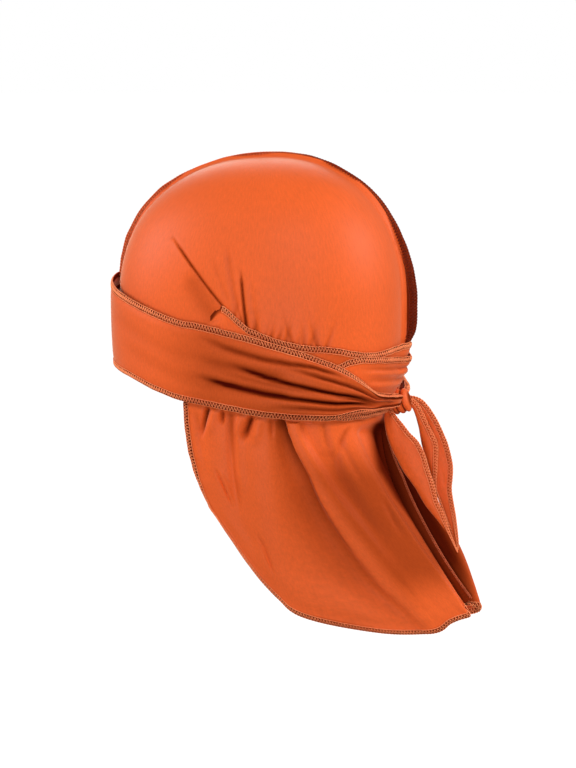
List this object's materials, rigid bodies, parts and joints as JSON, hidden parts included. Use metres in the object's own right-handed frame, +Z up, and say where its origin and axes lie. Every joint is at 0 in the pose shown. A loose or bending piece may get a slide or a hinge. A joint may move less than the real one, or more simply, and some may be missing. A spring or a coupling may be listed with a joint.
{
  "type": "durag",
  "caption": "Stretch-knit durag with a standing centre seam, ties wound round the head and knotted at the nape, and a cape hanging behind.",
  "frame": {"origin": "middle of the head inside the cap, at the level where the head is widest", "axes": "+Z up along the standing head, -Y towards the face, +X towards the wearer's left"},
  "size_m": [0.1622, 0.2592, 0.3261],
  "materials": {
    "knit": "soft low sheen",
    "serging": "matte thread"
  },
  "bodies": {
    "root": {"panel_left": "knit", "panel_right": "knit", "crown_seam": "serging", "cape_seam": "serging", "strap_left_first_turn": "knit", "strap_right_first_turn": "knit", "strap_left_last_turn": "knit", "strap_right_last_turn": "knit", "knot": "knit", "strap_left_tail": "knit", "strap_right_tail": "knit"}
  },
  "joints": []
}
